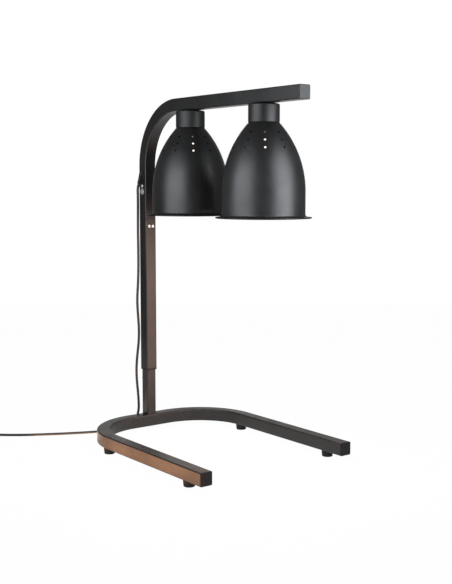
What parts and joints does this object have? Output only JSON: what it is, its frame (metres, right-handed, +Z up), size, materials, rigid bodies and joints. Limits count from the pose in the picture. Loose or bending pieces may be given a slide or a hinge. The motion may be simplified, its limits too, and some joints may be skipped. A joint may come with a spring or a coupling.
{
  "type": "food heat lamp",
  "caption": "Free-standing buffet heat lamp: U-shaped square-tube base, telescopic post, bent arm and vented bell shades with infrared bulbs over a food pan.",
  "frame": {"origin": "on the table, under the middle of the object's box without its cord", "axes": "+Z up, -Y to the front where the base opens and the arm reaches, +X to the object's right seen from behind the post"},
  "size_m": [0.6111, 0.7561, 0.7302],
  "materials": {
    "black_coat": "satin black powder coat",
    "shade_coat": "satin black coat on spun aluminium",
    "black_plastic": "moulded",
    "grey_plastic": "moulded, satin",
    "foot_rubber": "matte",
    "switch_plastic": "moulded",
    "knob_black": "blackened steel",
    "zinc_steel": "zinc plated",
    "porcelain": "glazed porcelain",
    "bulb_cap": "thin drawn shell",
    "bulb_glass": "frosted face",
    "cord_rubber": "matte",
    "wire_sleeve": "heat-proof sleeve",
    "tie_strap": "soft strap",
    "pin_brass": "bright"
  },
  "bodies": {
    "base": {"base_end_cap_left": "black_plastic", "base_end_cap_right": "black_plastic", "base_frame": "black_coat", "coil_tie": "tie_strap", "cord_coil": "cord_rubber", "cord_floor": "cord_rubber", "cord_hanging": "cord_rubber", "foot_front_left": "foot_rubber", "foot_front_right": "foot_rubber", "foot_rear_left": "foot_rubber", "foot_rear_right": "foot_rubber", "foot_screws": "zinc_steel", "lower_post": "black_coat", "plug_body": "cord_rubber", "plug_pins": "pin_brass", "post_stub": "black_coat", "stub_nut": "zinc_steel", "upper_guide": "black_plastic"},
    "arm": {"outer_post": "black_coat", "guide_bush": "black_plastic", "clamp_boss": "black_coat", "arm_joiner": "zinc_steel", "joiner_screws": "zinc_steel", "arm_tube": "black_coat", "arm_end_cap": "grey_plastic", "strain_relief": "black_plastic", "switch_body": "switch_plastic", "switch_nut": "zinc_steel", "earth_screw": "zinc_steel", "earth_nut": "zinc_steel", "arm_wiring": "wire_sleeve", "front_spacer": "black_plastic", "front_neck_cup": "shade_coat", "front_nipple": "zinc_steel", "front_lock_nut": "zinc_steel", "front_shade": "shade_coat", "front_lampholder": "porcelain", "front_shade_ring": "porcelain", "front_bulb_cap": "bulb_cap", "front_bulb_glass": "bulb_glass", "rear_spacer": "black_plastic", "rear_neck_cup": "shade_coat", "rear_nipple": "zinc_steel", "rear_lock_nut": "zinc_steel", "rear_shade": "shade_coat", "rear_lampholder": "porcelain", "rear_shade_ring": "porcelain", "rear_bulb_cap": "bulb_cap", "rear_bulb_glass": "bulb_glass"},
    "switch_button": {"switch_button": "switch_plastic"},
    "clamp_screw": {"clamp_screw": "knob_black"},
    "post_thumbscrew": {"post_thumbscrew": "knob_black"}
  },
  "joints": [
    {"name": "arm_height", "type": "slide", "parent": "base", "child": "arm", "axis": [0, 0, 1], "range_m": [-0.008, 0.18], "deforming": ["cord_hanging"]},
    {"name": "switch_press", "type": "slide", "parent": "arm", "child": "switch_button", "axis": [1, 0, 0], "range_m": [0, 0.002], "stiffness_N_per_m": 400, "springref_m": -0.002},
    {"name": "clamp_turn", "type": "hinge", "parent": "arm", "child": "clamp_screw", "pos_m": [0, 0.24895, 0.172], "axis": [0, 1, 0], "continuous": true},
    {"name": "thumbscrew_turn", "type": "hinge", "parent": "base", "child": "post_thumbscrew", "pos_m": [0, 0.24895, 0.118], "axis": [0, 1, 0], "continuous": true}
  ]
}
